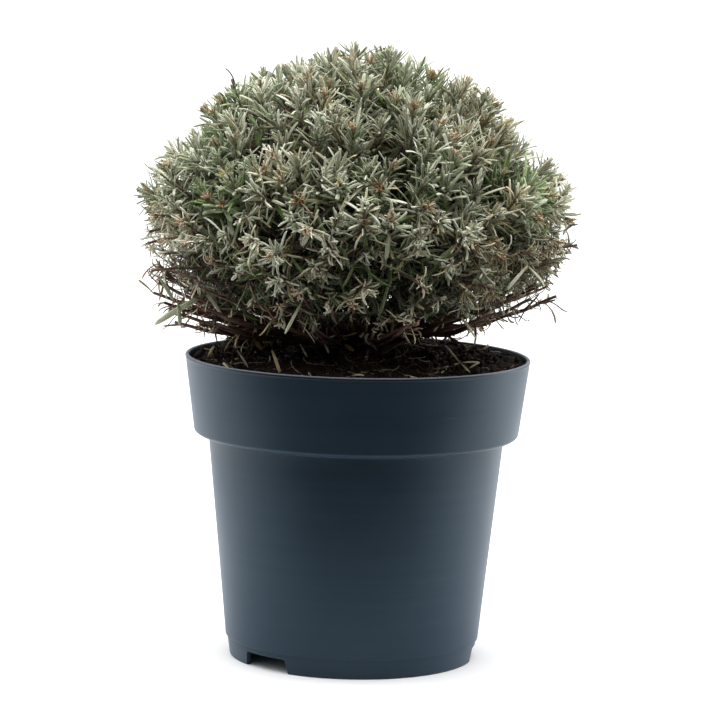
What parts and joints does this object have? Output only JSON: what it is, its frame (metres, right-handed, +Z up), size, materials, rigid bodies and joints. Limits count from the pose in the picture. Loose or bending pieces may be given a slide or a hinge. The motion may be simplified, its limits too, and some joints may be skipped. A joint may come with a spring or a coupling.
{
  "type": "potted lavender",
  "caption": "Clipped dome of grey-green lavender with bare woody stems at its foot, growing in soil in a tapered plastic nursery pot with a deep collar and a notched foot.",
  "frame": {"origin": "centre of the plane that the pot stands on, on the pot's own axis", "axes": "+Z up along the pot's axis; -Y is the front, where the drainage notch shows at the left; +X to the right as seen from the front"},
  "size_m": [0.241, 0.2414, 0.3366],
  "materials": {
    "pot_plastic": "satin blue-grey moulded plastic with faint scuffs",
    "soil": "dark damp peat with fallen dry leaves",
    "bark": "dry brown bark, greyer and flaking on the old stems",
    "leaf": "matt felted grey-green leaf"
  },
  "bodies": {
    "root": {"pot": "pot_plastic", "soil": "soil", "woody_stems": "bark", "foliage": "leaf"}
  },
  "joints": []
}
